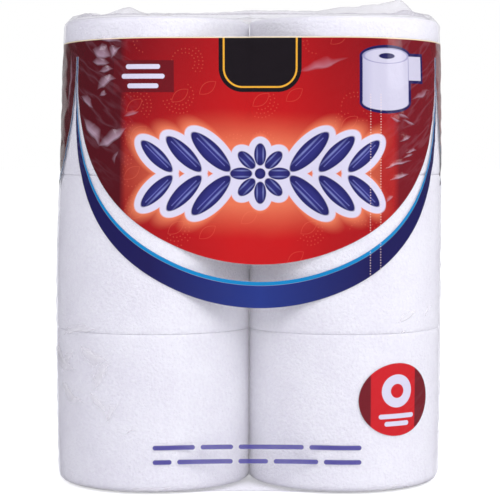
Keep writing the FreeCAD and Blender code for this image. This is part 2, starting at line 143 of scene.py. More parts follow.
# The studio: a white backdrop behind the pack, and a dim room in front of it, which is what
# the glossy film mirrors. The room's light is soft and nearly neutral.
BACKDROP = srgb(255, 255, 255)
ROOM = srgb(250, 251, 253)
world = bpy.data.worlds.new("studio")
scene.world = world
air = Shader(world)
direction = air.split(air.add("ShaderNodeTexCoord"))
path = air.add("ShaderNodeLightPath").socket.node
camera_ray = Wire(air, path.outputs["Is Camera Ray"])
glossy_ray = Wire(air, path.outputs["Is Glossy Ray"])
clear_ray = Wire(air, path.outputs["Is Transmission Ray"])
behind = direction[1].within(0.72, 0.8)
mirrored = 0.07 + behind * 0.38
in_front = (0.0 - direction[1]).within(0.2, 0.9)
from_right = direction[0].within(0.0, 0.9)
from_left = (0.0 - direction[0]).within(0.1, 0.9)
seen = (camera_ray + clear_ray).maths("MINIMUM", 1.0)
soft = 0.55 + in_front * 0.48 + from_right * 0.34 - from_left * 0.11
room_light = soft * (1 - glossy_ray) + glossy_ray * mirrored
strength = room_light * (1 - seen) + seen
air.add("ShaderNodeOutputWorld", {}, {
    "Surface": air.add("ShaderNodeBackground", {}, {
        "Color": air.blend(seen, ROOM, BACKDROP),
        "Strength": strength,
    }),
})


def lamp(name, power, width, height, place, target, colour):
    """A soft rectangular lamp at a place in metres, turned to its target."""
    data = bpy.data.lights.new(name, "AREA")
    data.shape = "RECTANGLE"
    data.size = width
    data.size_y = height
    data.energy = power
    data.color = colour[:3]
    lamp_object = bpy.data.objects.new(name, data)
    lamp_object.location = place
    aim = Vector(target) - Vector(place)
    lamp_object.rotation_euler = aim.to_track_quat("-Z", "Y").to_euler()
    scene.collection.objects.link(lamp_object)


lamp("key", 10.4, 0.9, 0.9, (0.5, -1.05, 1.3), (0, 0, 0.15), srgb(255, 253, 253))
lamp("side", 1.6, 0.4, 0.25, (-0.9, -0.5, 0.75), (-0.1, 0, 0.2), srgb(245, 240, 255))
lamp("fill", 1.3, 0.4, 0.6, (1.0, -0.55, 0.6), (0.1, 0, 0.15), srgb(255, 253, 253))

# The floor: matt white board. It glows a little, so that it's white where no shadow lies.
board = bpy.data.materials.new("white_board")
painted = Shader(board)
grain = painted.add("ShaderNodeTexNoise", {}, {
    "Vector": painted.add("ShaderNodeTexCoord", {}, {}, 3),
    "Scale": 300.0,
})
board_path = painted.add("ShaderNodeLightPath").socket.node
to_camera = Wire(painted, board_path.outputs["Is Camera Ray"])
to_gloss = Wire(painted, board_path.outputs["Is Glossy Ray"])
white_board = painted.blend(grain, srgb(236, 236, 238), srgb(244, 244, 246))
painted.add("ShaderNodeOutputMaterial", {}, {
    "Surface": painted.add("ShaderNodeBsdfPrincipled", {}, {
        "Base Color": painted.blend(to_gloss * 0.85, white_board, srgb(0, 0, 0)),
        "Roughness": 0.9,
        "Emission Color": painted.blend(to_camera, srgb(0, 0, 0), srgb(255, 255, 255)),
        "Emission Strength": 0.62,
    }),
})
floor_mesh = bpy.data.meshes.new("floor")
floor_form = bmesh.new()
bmesh.ops.create_grid(floor_form, x_segments=1, y_segments=1, size=20)
floor_form.to_mesh(floor_mesh)
floor_form.free()
floor = bpy.data.objects.new("floor", floor_mesh)
floor.data.materials.append(board)
scene.collection.objects.link(floor)


def smooth_object(name, form, material):
    """A mesh from a finished bmesh, shaded smooth."""
    mesh = bpy.data.meshes.new(name)
    for face in form.faces:
        face.smooth = True
    form.to_mesh(mesh)
    form.free()
    made = bpy.data.objects.new(name, mesh)
    mesh.materials.append(material)
    scene.collection.objects.link(made)
    return made


# The six rolls: soft white tissue wound on card cores, stood on end in two columns. The film
# holds them so tight that each column bulges and the columns press each other flat.
COLUMN = (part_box("core_middle_right")[0][0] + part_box("core_middle_right")[1][0]) / 2 / MM
PACK_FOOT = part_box("roll_bottom_left")[0][2] / MM
PACK_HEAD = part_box("roll_top_left")[1][2] / MM
ROLL_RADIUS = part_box("roll_middle_left")[1][1] / MM
BORE = (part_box("core_middle_right")[1][1]) / MM + 0.1
PRESSED_GAP = 0.05
PRESSED_END = 0.2
SWELLING = 0.1
CORNER_STEPS = 5
ROUND_STEPS = 144
SIDE_STEPS = 24
TURN_RINGS = 16
TURN_RELIEF = 0.22
FREE_ROUND = (4.0, 4.0)
JOINT_ROUND = (0.6, 2.8)
PAPER = srgb(240, 240, 243)
PAPER_SHADE = srgb(222, 219, 228)


def barrel(x, z):
    """How far the film's pull lets a column's side stand out at a place, in mm."""
    middle = (PACK_FOOT + PACK_HEAD) / 2
    along = (z - middle) / middle
    pulled = 1.4 - (4.2 if along > 0 else 1.6) * along ** 4
    if x > 0:
        return pulled + 2.2 * max(0, along) ** 4
    leftward = min(1, -x / 100)
    pulled -= leftward * (1.0 + 2.0 * math.tanh((z - 185) / 45))
    return pulled + 1.4 * leftward * max(0, along) ** 6


def dent(point, size, depth):
    """A slow wave over a surface, for soft dents."""
    return depth * noise.noise(Vector(point) / size)


def corner(shape, share):
    """A place on a rounded corner, from its end face on: how far in and how far along."""
    depth, height = shape
    if shape == JOINT_ROUND:
        return depth * (1 - share) ** 2, height * share
    angle = share * math.pi / 2
    return depth * (1 - math.sin(angle)), height * (1 - math.cos(angle))


def end_profile(foot, head, foot_round, head_round):
    """One side of a roll's section, from its bore out over its foot, up and back in."""
    points = []
    for ring in range(TURN_RINGS):
        radius = BORE + (ROLL_RADIUS - foot_round[0] - BORE) * ring / TURN_RINGS
        points.append((radius, foot + TURN_RELIEF * (ring % 2)))
    for step in range(CORNER_STEPS + 1):
        inward, rise_here = corner(foot_round, step / CORNER_STEPS)
        points.append((ROLL_RADIUS - inward, foot + rise_here))
    straight = head - foot - foot_round[1] - head_round[1]
    for step in range(1, SIDE_STEPS):
        points.append((ROLL_RADIUS, foot + foot_round[1] + straight * step / SIDE_STEPS))
    for step in range(CORNER_STEPS + 1):
        inward, rise_here = corner(head_round, 1 - step / CORNER_STEPS)
        points.append((ROLL_RADIUS - inward, head - rise_here))
    for ring in reversed(range(TURN_RINGS)):
        radius = BORE + (ROLL_RADIUS - head_round[0] - BORE) * ring / TURN_RINGS
        points.append((radius, head - TURN_RELIEF * (ring % 2)))
    return points


tissue = bpy.data.materials.new("tissue")
paper = Shader(tissue)
here = paper.add("ShaderNodeTexCoord", {}, {}, 3)
here_x, here_y, here_z = paper.split(here)
from_axis_x = abs(here_x) - COLUMN * MM
from_axis = (from_axis_x * from_axis_x + here_y * here_y).maths("SQRT")
fibre = paper.add("ShaderNodeTexNoise", {}, {"Vector": here, "Scale": 900.0, "Detail": 4.0})
emboss = paper.add("ShaderNodeTexNoise", {}, {"Vector": here, "Scale": 560.0, "Detail": 2.0})
cloud = paper.add("ShaderNodeTexNoise", {}, {"Vector": here, "Scale": 34.0, "Detail": 2.0})
side_wall = from_axis.within(0.056, 0.0595)
turns = (from_axis * 5200 + cloud * 9).maths("SINE") * 0.5 + 0.5
relief = (emboss * 0.75 + fibre * 0.25) * side_wall + turns * (1 - side_wall) * 0.8
mottle = (emboss * 0.6 + cloud * 0.4).within(0.34, 0.62)
shaded = side_wall * (1 - mottle) * 0.6 + (1 - side_wall) * (1 - turns) * 0.8
paper.add("ShaderNodeOutputMaterial", {}, {
    "Surface": paper.add("ShaderNodeBsdfPrincipled", {}, {
        "Base Color": paper.blend(shaded, PAPER, PAPER_SHADE),
        "Roughness": 0.95,
        "Specular IOR Level": 0.15,
        "Normal": paper.add("ShaderNodeBump", {}, {
            "Height": relief, "Strength": 0.8, "Distance": 0.0011,
        }),
    }),
})

LAYERS = (
    ("bottom", FREE_ROUND, JOINT_ROUND),
    ("middle", JOINT_ROUND, JOINT_ROUND),
    ("top", JOINT_ROUND, FREE_ROUND),
)
for column, side in (("left", -1), ("right", 1)):
    for layer, foot_round, head_round in LAYERS:
        node = f"roll_{layer}_{column}"
        low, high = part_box(node)
        foot = low[2] / MM - (PRESSED_END if layer != "bottom" else 0)
        head = high[2] / MM + (PRESSED_END if layer != "top" else 0)
        form = bmesh.new()
        section = [
            form.verts.new((radius, 0, height))
            for radius, height in end_profile(foot, head, foot_round, head_round)
        ]
        edges = [form.edges.new(pair) for pair in zip(section, section[1:] + section[:1])]
        bmesh.ops.spin(
            form, geom=section + edges, cent=(0, 0, 0), axis=(0, 0, 1),
            angle=math.tau, steps=ROUND_STEPS, use_merge=True,
        )
        for vertex in form.verts:
            x, y, z = vertex.co
            outward = math.hypot(x, y)
            centre = COLUMN * side
            share = max(0, (outward - BORE) / (ROLL_RADIUS - BORE))
            grown = barrel(centre + x, z) + SWELLING + dent((centre + x, y, z), 30, 0.3)
            grown *= share ** 3
            scale = 1 + grown / outward
            x = centre + x * scale
            if x * side < PRESSED_GAP:
                x = PRESSED_GAP * side
            vertex.co = Vector((x, y * scale, z)) * MM
        bmesh.ops.recalc_face_normals(form, faces=form.faces)
        roll = smooth_object(f"tissue_{layer}_{column}", form, tissue)
        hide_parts(node)
        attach(roll, "root")

# The cores: tubes of grey-brown card, glued in a spiral. They are the CAD's own tubes.
card = bpy.data.materials.new("core_card")
pulp = Shader(card)
spot = pulp.add("ShaderNodeTexCoord", {}, {}, 3)
spot_x, spot_y, spot_z = pulp.split(spot)
round_core = spot_y.maths("ARCTAN2", abs(spot_x) - COLUMN * MM)
seam = (round_core / math.tau + spot_z / 0.055).maths("FRACT")
seam_line = 1 - abs(seam - 0.5).within(0.0, 0.02)
flecks = pulp.add("ShaderNodeTexNoise", {}, {"Vector": spot, "Scale": 1400.0, "Detail": 5.0})
pulp_colour = pulp.blend(flecks.within(0.35, 0.7), srgb(150, 128, 104), srgb(186, 165, 140))
pulp.add("ShaderNodeOutputMaterial", {}, {
    "Surface": pulp.add("ShaderNodeBsdfPrincipled", {}, {
        "Base Color": pulp.blend(seam_line * 0.5, pulp_colour, srgb(118, 98, 78)),
        "Roughness": 0.9,
        "Normal": pulp.add("ShaderNodeBump", {}, {"Height": flecks - seam_line, "Distance": 0.0002}),
    }),
})
for layer in ("bottom", "middle", "top"):
    for column in ("left", "right"):
        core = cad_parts[f"core_{layer}_{column}"]
        core.data.materials.clear()
        core.data.materials.append(card)

# The wrap: one tube of clear film, printed, drawn tight round both columns, with its ends
# folded over like a parcel's and sealed. Its mesh starts as a grid, whose columns go round
# the pack from the lap seal at the back, and whose rows go up from the base's middle.
DIP = 5.0
WALL_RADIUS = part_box("film_wrap")[1][0] / MM - COLUMN
DIP_REACH = (COLUMN ** 2 + DIP ** 2) / (2 * DIP)
DIP_RADIUS = DIP_REACH - WALL_RADIUS
DIP_CENTRE = DIP_REACH - DIP
SLOPE = math.atan2(DIP_CENTRE, COLUMN)
DIP_HALF = DIP_RADIUS * (math.pi / 2 - SLOPE)
HALF_ROUND = 2 * DIP_HALF + WALL_RADIUS * 2 * (math.pi - SLOPE)
RIM = 5.0
FOOT = PACK_FOOT - 0.9
HEAD = PACK_HEAD + 0.9
LID = 57.0
LID_LINE = 0.63
LOWEST = 0.3
DEEPEST = -0.2
MESH_STEP = 1.85
FLAP_X = 85.7
FLAP_NARROW = 51.7
FLAP_Y = 51.2
FLAP_LAP = 9.0
EAR_RISE = 9.8
EAR_FOOT = 30
EAR_PEAK = 94
EAR_END = 105
rim_length = RIM * math.pi / 2
low_end = FOOT + RIM - rim_length - LID
high_end = HEAD - RIM + rim_length + LID


def outline(along):
    """The film's outline at a distance round it from the front's middle: point and normal."""
    side = -1 if along < 0 else 1
    along = abs(along)
    back = along > HALF_ROUND - DIP_HALF
    if along < DIP_HALF or back:
        turned = (HALF_ROUND - along if back else along) / DIP_RADIUS
        point = Vector((DIP_RADIUS * math.sin(turned), DIP_RADIUS * math.cos(turned) - DIP_CENTRE))
        normal = Vector((-math.sin(turned), -math.cos(turned)))
        if back:
            point.y *= -1
            normal.y *= -1
    else:
        angle = SLOPE - math.pi + (along - DIP_HALF) / WALL_RADIUS
        normal = Vector((math.cos(angle), math.sin(angle)))
        point = Vector((COLUMN, 0)) + normal * WALL_RADIUS
    point.x *= side
    normal.x *= side
    return point, normal


def rise(value, low, high):
    """A smooth step from 0 at low to 1 at high."""
    share = min(1, max(0, (value - low) / (high - low)))
    return share * share * (3 - 2 * share)


def hump(distance, width):
    """A soft hump, 1 in its middle and near 0 at twice its width."""
    return math.exp(-(distance / width) ** 2)


def flap(x, y, near):
    """1 on a flap whose broad side lies at the pack's front for near 1, or back for -1."""
    y *= -near
    slant = FLAP_X - (FLAP_X - FLAP_NARROW) * (FLAP_Y - y) / (FLAP_Y + FLAP_LAP)
    return rise(slant - abs(x), -1, 1) * rise(y + FLAP_LAP, -1, 1)


def top_relief(x, y):
    """The height of the top's folds over the flat film, in mm."""
    height = 0.6 * flap(x, y, -1) + 0.7 * flap(x, y, 1) + 0.6 * rise(-abs(abs(x) - 92), -14, 0)
    if EAR_FOOT < x < EAR_END:
        if x < EAR_PEAK:
            peak = EAR_RISE * (x - EAR_FOOT) / (EAR_PEAK - EAR_FOOT)
        else:
            peak = EAR_RISE - (EAR_RISE - 1) * (x - EAR_PEAK) / (EAR_END - EAR_PEAK)
        height += max(0, peak) * (0.65 * hump(y + 34, 7) + 0.35 * hump(y + 30, 17))
    height += 5.0 * hump(x + 78, 9) * hump(y + 34, 12)
    height += 2.3 * hump(x - 5, 55) * hump(y + 42, 14)
    height += 4.0 * rise(x, 90, 99) + 2.8 * rise(-x, 92, 106)
    height += 1.0 * hump(x + 100, 16) * hump(y + 26, 16)
    height += 1.2 * hump(x - 18, 26) * hump(y + 30, 14)
    height += 0.9 * noise.noise(Vector((x / 9, y / 16, 1.7)))
    height += 0.4 * noise.noise(Vector((x / 3.5, y / 7, 4.1)))
    return height


# Creases in the film where it is slack: each a ridge with a sharp side and a soft side, from
# one place to another on the unrolled film, with the widths of both sides and its height.
CREASES = (
    (-82, 286, -103, 287, 4.5, 0.7), (-88, 276, -104, 281, 5.5, 0.9), (-82, 283, -89, 275, 4.5, 0.9),
    (-89, 272, -105, 274, 5.0, 0.8), (-87, 268, -99, 267, 3.6, 0.7), (-85, 262, -100, 257, 4.6, 0.8),
    (-90, 253, -98, 252, 3.2, 0.7), (-102, 245, -114, 251, 4.4, 0.8), (-95, 219, -112, 238, 6.4, 1.0),
    (-77, 230, -97, 219, 5.2, 1.0), (-69, 242, -80, 239, 2.4, 0.5), (-83, 218, -87, 209, 2.0, 0.4),
    (-131, 238, -127, 282, 2.6, 0.6), (62, 276, 32, 266, 5.0, 0.5), (106, 211, 85, 206, 2.0, 1.0),
    (105, 203, 88, 198, 2.2, 1.0), (111, 218, 100, 216, 2.0, 0.9), (107, 215, 99, 213, 1.6, 0.8),
    (89, 239, 99, 235, 2.0, 0.9), (99, 236, 110, 234, 1.8, 0.8), (105, 226, 95, 224, 2.0, 0.8),
    (96, 242, 104, 237, 1.8, 0.7), (124, 255, 103, 249, 3.0, 0.6), (91, 189, 86, 184, 1.6, 0.6),
    (-90, 105, -136, 99, 6.0, 0.9), (-157, 94, -114, 76, 10.0, 1.0), (-114, 95, -86, 83, 9.0, 1.0),
    (-86, 86, -101, 64, 8.0, 0.9), (-135, 70, -107, 56, 8.0, 0.9), (-117, 90, -135, 72, 8.0, 0.9),
    (-105, 65, -87, 52, 6.0, 0.8), (-81, 62, -92, 45, 5.0, 0.7), (-68, 43, -79, 37, 1.8, 0.7),
    (112, 116, 92, 109, 5.0, 0.9), (101, 104, 96, 102, 1.6, 0.9), (-44, 5, -84, 2, 2.8, 0.7),
    (112, 3, 64, 2, 2.8, 0.7), (129, 121, 116, 108, 2.4, 0.5),
)


def crease_relief(along, z):
    """The height of the tallest crease at a place on the wall, in mm."""
    tallest = 0
    for from_along, from_up, to_along, to_up, width, height in CREASES:
        if min(from_along, to_along) - width < along < max(from_along, to_along) + width:
            long = math.hypot(to_along - from_along, to_up - from_up)
            step = ((to_along - from_along) / long, (to_up - from_up) / long)
            lengthwise = (along - from_along) * step[0] + (z - from_up) * step[1]
            sideways = (z - from_up) * step[0] - (along - from_along) * step[1]
            fall = max(sideways / (width * 0.3), -sideways / width)
            taper = max(0, abs(lengthwise / long - 0.5) - 0.15) / 0.35
            tallest = max(tallest, (1 - fall - taper) * height)
    return tallest


def wall_relief(along, z):
    """Slack in the film's wall, in mm: fine tucks at the rims and creases on the ends."""
    low = math.exp(-max(0, z - FOOT) / 9)
    high = math.exp(-max(0, HEAD - z) / 8)
    tucks = noise.noise(Vector((along / 4.5, z / 30, 0.4)))
    relief = 0.9 * low * tucks + 0.5 * high * noise.noise(Vector((along / 6, z / 22, 5.2)))
    for layer in (1, 2):
        joint = PACK_FOOT + (PACK_HEAD - PACK_FOOT) * layer / 3
        relief -= 0.15 * hump(z - joint, 3.2)
    skirt = math.exp(-max(0, z - FOOT) / 6) * (1 - rise(abs(along - 5), 70, 115))
    relief += skirt * (4.6 + 1.6 * math.sin(along / 24))
    end = rise(abs(abs(along) - HALF_ROUND / 2), 0, 70)
    ridge = 1 - abs(noise.noise(Vector((along / 15, z / 11, 2.0)))) * 3
    relief += 0.5 * (1 - end) * max(0, ridge)
    relief += 0.35 * abs(noise.noise(Vector((along / 28, z / 40, 7.7))))
    return max(relief, DEEPEST) + 0.6 * crease_relief(along, z)


def film_point(along, up):
    """A grid point's place. Up is the height on the wall, and goes on over rims and ends."""
    point, normal = outline(along)
    lid = 0
    if up < FOOT + RIM:
        over = FOOT + RIM - up
        turn = min(over / RIM, math.pi / 2)
        lid = max(0, over - rim_length) / LID
        z = FOOT + RIM * (1 - math.sin(turn))
    elif up > HEAD - RIM:
        over = up - HEAD + RIM
        turn = min(over / RIM, math.pi / 2)
        lid = max(0, over - rim_length) / LID
        z = HEAD - RIM * (1 - math.sin(turn))
    else:
        turn = 0
        z = up
    pulled = barrel(point.x, z) * (1 - lid) + wall_relief(along, z) * math.cos(turn)
    point = point + normal * (pulled - RIM * (1 - math.cos(turn)))
    middle = Vector((point.x * LID_LINE, 0))
    point = point.lerp(middle, min(1, lid))
    settled = rise(lid, 0, 0.15) + 0.6 * rise(turn, 0.9, 1.5) * (lid == 0)
    if up > HEAD - RIM:
        z += top_relief(point.x, point.y) * min(1, settled)
    elif lid > 0:
        sunk = 1.8 * rise(lid, 0, 0.2) + 0.3 * noise.noise(Vector((point.x / 7, point.y / 7, 3)))
        z -= min(z - LOWEST, sunk)
    return Vector((point.x, point.y, z)) * MM


film_form = bmesh.new()
bmesh.ops.create_grid(
    film_form,
    x_segments=4 * round(HALF_ROUND / 2 / MESH_STEP),
    y_segments=round((high_end - low_end) / MESH_STEP),
    size=0.5,
)
print_layer = film_form.loops.layers.uv.new("print")
bake_layer = film_form.loops.layers.uv.new("OFBake")
for face in film_form.faces:
    for loop in face.loops:
        u, v, _ = loop.vert.co
        loop[print_layer].uv = (u * 2 * HALF_ROUND, (low_end + high_end) / 2 + v * (high_end - low_end))
        loop[bake_layer].uv = (0.5 + u * 0.99, 0.5 + v * 0.99)
for vertex in film_form.verts:
    u, v, _ = vertex.co
    vertex.co = film_point(u * 2 * HALF_ROUND, (low_end + high_end) / 2 + v * (high_end - low_end))
bmesh.ops.remove_doubles(film_form, verts=film_form.verts, dist=0.02 * MM)

# The print: a colour for each ink, the shift of the print to the right of the front's middle,
# and the heights of the field's top edge and of the strip that its lobes hang from.
RED = srgb(194, 18, 23)
RED_PAINTED_SHADE = srgb(126, 11, 23)
MAROON_LEFT_PAINTED_SHADE = srgb(84, 14, 26)
MAROON_RIGHT = srgb(116, 20, 32)
RED_PAINTED_HIGHLIGHT = srgb(168, 24, 30)
GLOW = srgb(242, 140, 100)
CREAM = srgb(244, 228, 190)
SKY = srgb(14, 130, 192)
NAVY = srgb(29, 26, 84)
NAVY_PAINTED_LIT = srgb(36, 54, 132)
WHITE = srgb(212, 208, 230)
BLACK = srgb(26, 20, 26)
GOLD = srgb(236, 172, 52)
HAZE = srgb(242, 238, 243)
LEAF_PRESSED = srgb(244, 110, 86)
NAVY_PLUM = srgb(46, 46, 120)
NAVY_SHINE = srgb(150, 160, 226)
NAVY_VEIN = srgb(120, 124, 200)
NOTE_DARK = srgb(96, 17, 28)
SIGN_PALE = srgb(200, 197, 218)
SIGN_SHADE = srgb(160, 158, 196)
SIGN_LINE = srgb(120, 118, 170)
SEAL_RED = srgb(200, 26, 36)
SEAL_RED_PAINTED_SHADE = srgb(112, 22, 34)
TEXT_BLUE = srgb(78, 72, 154)
HOLE_PALE = srgb(255, 226, 216)
CLEAR = srgb(252, 252, 255)
CREASE_WHITE_AND_GLINT_ON_INK = srgb(222, 196, 220)
SHIFT = 7.0
FIELD_TOP = 288.3
STRIP = 277.0
LOBE_TOP = 268

film_material = bpy.data.materials.new("printed_film")
film = Shader(film_material)
flat_place = film.split(film.add("ShaderNodeUVMap", {"uv_map": "print"}))
along = flat_place[0]
up = flat_place[1]


def inside(distance, soft=0.3):
    """1 where a distance in mm is under 0, with an edge as soft as ink on film."""
    return (0.5 - distance / soft).maths("ADD", 0.0, clamp=True)


def oval(x, z, half_width, half_height, power=2.0):
    """The distance outside an oval, in mm."""
    reach = (abs(x) / half_width) ** power + (abs(z) / half_height) ** power
    return (reach ** (1 / power) - 1) * min(half_width, half_height)


def bar(x, z, half_width, half_height):
    """The distance outside a bar with round ends."""
    past = (abs(x) - (half_width - half_height)).maths("MAXIMUM", 0.0)
    return (past * past + z * z).maths("SQRT") - half_height


def any_of(distances):
    nearest = distances[0]
    for distance in distances[1:]:
        nearest = nearest.maths("MINIMUM", distance)
    return nearest


def all_of(distances):
    farthest = distances[0]
    for distance in distances[1:]:
        farthest = farthest.maths("MAXIMUM", distance)
    return farthest


# The field: four lobes that hang from a strip round the pack's top, with a clear gap, a
# bright line and a dark band round each. Front and back are broad and the ends narrow.
turned = along - SHIFT + HALF_ROUND / 2
across = abs(turned - HALF_ROUND * (turned / HALF_ROUND).maths("FLOOR") - HALF_ROUND / 2)
from_end = HALF_ROUND / 2 - across


def lobes(middle, half, drop, end_half, end_drop):
    """The distance outside the lobes: a broad one that starts at its middle, and a narrow one."""
    front = oval(across, (middle - up).maths("MAXIMUM", 0.0), half, drop)
    end = oval(from_end, (LOBE_TOP - up).maths("MAXIMUM", 0.0), end_half, end_drop, 1.7)
    return any_of([front, end, STRIP - up])


field_edge = lobes(LOBE_TOP, 125.4, 122.2, 33.0, 68)
gap_edge = lobes(258, 125.8, 123, 33.6, 70.5)
line_edge = lobes(255, 126.2, 122.5, 33.9, 72)
band_edge = lobes(244, 126.8, 125.7, 34.3, 75)
top_edge = up - (FIELD_TOP - across * across * 0.00008)
below_top = inside(top_edge)
field = inside(field_edge) * below_top
sky_line = inside(line_edge) * (1 - inside(gap_edge)) * below_top
navy_band = inside(band_edge) * (1 - inside(line_edge)) * below_top
cream_line = inside(abs(top_edge) - 0.35) * inside(band_edge)

clouds = film.add("ShaderNodeTexNoise", {}, {
    "Vector": film.add("ShaderNodeTexCoord", {}, {}, 3),
    "Scale": 14.0,
    "Detail": 2.0,
})
# Painted shade: the red darkens toward the pack's ends and toward the top of the field.
shade = across.within(16.0, 90.0) * 0.75 + up.within(225.0, 292.0) * 0.4
red = film.blend(shade.maths("MINIMUM", 1.0), RED, RED_PAINTED_SHADE)

# Faint dotted arcs and small leaves all over the field, as if pressed in the paper.
CELL = 27
cell_node = film.add("ShaderNodeTexVoronoi", {"voronoi_dimensions": "2D"}, {
    "Vector": film.add("ShaderNodeCombineXYZ", {}, {0: along / CELL, 1: up / CELL}),
    "Scale": 1.0,
    "Randomness": 0.7,
}).socket.node
cell_place = film.split(Wire(film, cell_node.outputs["Position"]))
cell_chance = film.split(Wire(film, cell_node.outputs["Color"]))
cell_x = along - cell_place[0] * CELL
cell_z = up - cell_place[1] * CELL
cell_far = (cell_x * cell_x + cell_z * cell_z).maths("SQRT")
cell_angle = cell_z.maths("ARCTAN2", cell_x)


def dotted_ring(radius, count, start):
    """The distance outside the dots of an arc, which reaches to the start's share of a turn."""
    turn = ((cell_angle + cell_chance[1] * 6.3) / math.tau).maths("FRACT")
    beside = ((turn * count).maths("FRACT") - 0.5) * (math.tau * radius / count)
    beyond = cell_far - radius
    dot = (beside * beside + beyond * beyond).maths("SQRT") - 0.42
    return all_of([dot, (turn - start) * radius])


leaf_x = cell_x * 0.8 + cell_z * 0.6
leaf_z = cell_z * 0.8 - cell_x * 0.6
leaf_side = abs(leaf_z) - (1 - (leaf_x / 6.4) ** 2.0) * 3.2
leaf_line = abs(leaf_side) - 0.22 + (cell_chance[0] - 0.62).within(0.0, 0.01) * 9
dots = any_of([dotted_ring(8.5, 22, 0.62), dotted_ring(6.0, 17, 0.45), dotted_ring(11.0, 30, 0.3)])
dots = dots + (0.38 - cell_chance[0]).within(0.0, 0.01) * 9
pressed = inside(any_of([dots, leaf_line]), 0.35)
red = film.blend(pressed * 0.22, red, LEAF_PRESSED)

# The sprig: pale leaf shapes round a flower, with navy leaves and petals on them.
FLOWER_UP = 203
x = along - SHIFT
z = up - FLOWER_UP
fold_x = abs(x)
fold_z = abs(z)
leaves = []
for pair in range(3):
    small = 1 - 0.1 * pair
    leaf_dx = fold_x - (31 + 17 * pair)
    leaf_dz = fold_z - 13.6 * small
    lengthwise = (leaf_dx + leaf_dz) * math.sqrt(0.5)
    sideways = (leaf_dz - leaf_dx) * math.sqrt(0.5)
    leaves.append((lengthwise, sideways, 17.0 * small, 5.8 * small))
from_flower = (x * x + z * z).maths("SQRT")
PETALS = 8
PETAL_LENGTH = 7.0
PETAL_WIDTH = 3.8
BORDER = 4.2
petal_turn = (z.maths("ARCTAN2", x) / math.tau * PETALS + 0.5).maths("FRACT") - 0.5
petal_angle = petal_turn * (math.tau / PETALS)
petal_x = from_flower * petal_angle.maths("COSINE") - 12.0
petal_z = from_flower * petal_angle.maths("SINE")
leaf_shapes = [oval(a, b, length, width, 1.8) for a, b, length, width in leaves]
petal_shape = oval(petal_x, petal_z, PETAL_LENGTH, PETAL_WIDTH)
flower_middle = from_flower - 3.4
motif = any_of(leaf_shapes + [petal_shape, flower_middle])
pale_shapes = [oval(a, b, length + BORDER, width + BORDER) for a, b, length, width in leaves]
pale_petal = oval(petal_x, petal_z, PETAL_LENGTH + BORDER, PETAL_WIDTH + BORDER)
pale_edge = any_of(pale_shapes + [pale_petal])
pale = inside(pale_edge, 0.5)
navy_motif = inside(motif, 0.4)
vein = any_of([abs(b) - 0.3 + (abs(a) - length * 0.72).maths("MAXIMUM", 0.0)
               for a, b, length, width in leaves])
shine = any_of([oval(a + 0.5, b - width * 0.42, length * 0.62, 0.55) for a, b, length, width in leaves]
               + [oval(petal_x + 0.3, abs(petal_z) - 1.9, 3.6, 0.4)])
motif_colour = film.blend((0.5 - motif / 5).within(0.3, 1.2), NAVY, NAVY_PLUM)
motif_colour = film.blend(inside(shine, 0.7) * 0.55, motif_colour, NAVY_SHINE)
motif_colour = film.blend(inside(vein, 0.3) * 0.6, motif_colour, NAVY_VEIN)

# A warm glow round the sprig. Outside it an upright strip of painted highlight, and the maroon ends, the
# left one painted darker than the right as shade.
panel_edge = oval(x, z, 72.0, 29.0, 2.4) + clouds * 12 - 6
near_glow = (1 - pale_edge.within(0.0, 5.0)) ** 1.5 * 0.75
wide_glow = (1 - panel_edge.within(-10.0, 13.0)) ** 1.5 * 0.62
red = film.blend(near_glow.maths("MAXIMUM", wide_glow), red, GLOW)
# Painted highlight: a brighter upright strip of red, weaker toward its top.
painted_highlight_strip = along.within(82.2, 83.2) * (1 - along.within(120.0, 121.0))
red = film.blend(painted_highlight_strip * (1 - up.within(232.0, 262.0) * 0.7) * 0.85, red, RED_PAINTED_HIGHLIGHT)
# The maroon ends are print; the left end is painted darker than the right, as painted shade.
maroon = film.blend(along.within(0.0, 1.0), MAROON_LEFT_PAINTED_SHADE, MAROON_RIGHT)
red = film.blend(across.within(84.6, 89.0), red, maroon)

# The tab at the top of the front, with a thin even gold line in it.
TAB_ROUND = 15
TAB_HALF = 26
TAB_FOOT = 254
tab_corner_x = (abs(x) - TAB_HALF + TAB_ROUND).maths("MAXIMUM", 0.0)
tab_corner_z = (TAB_FOOT - up + TAB_ROUND).maths("MAXIMUM", 0.0)
tab_edge = (tab_corner_x * tab_corner_x + tab_corner_z * tab_corner_z).maths("SQRT") - TAB_ROUND
tab = inside(tab_edge) * below_top
tab_line = inside(abs(tab_edge + 3.15) - 0.55) * below_top

# The sign: a roll seen from a little above, with its last sheet hanging at the right.
sign_x = along - 87
sign_z = up - 262
SIGN_HALF = 16.0
SIGN_HEAD = 14.5
SIGN_END = 5.0
SIGN_SHEET = 11


def sign_shape(border):
    """The distance outside the drawn roll and its sheet, with a border round them."""
    column = all_of([abs(sign_x) - SIGN_HALF - border, abs(sign_z) - SIGN_HEAD])
    ends = oval(sign_x, abs(sign_z) - SIGN_HEAD, SIGN_HALF + border, SIGN_END + border)
    hanging = all_of([
        sign_x - (SIGN_HALF + SIGN_SHEET + border),
        (SIGN_HALF - border) - sign_x,
        sign_z - (SIGN_HEAD + border),
        (-0.5 - border) - sign_z,
    ])
    return any_of([column, ends, hanging])


sign_border = inside(sign_shape(1.9))
sign_face = inside(sign_shape(0.0))
sign_rim = inside(abs(oval(sign_x, sign_z - SIGN_HEAD, SIGN_HALF - 0.6, SIGN_END - 0.4)) - 0.25)
sign_core = inside(oval(sign_x, sign_z - SIGN_HEAD, 5.5, 1.8))
sign_edge = inside(abs(sign_x - SIGN_HALF + 0.2) - 0.25) * inside(abs(sign_z + 1) - 14)
sign_shadow = sign_x.within(-16.0, -9.0)

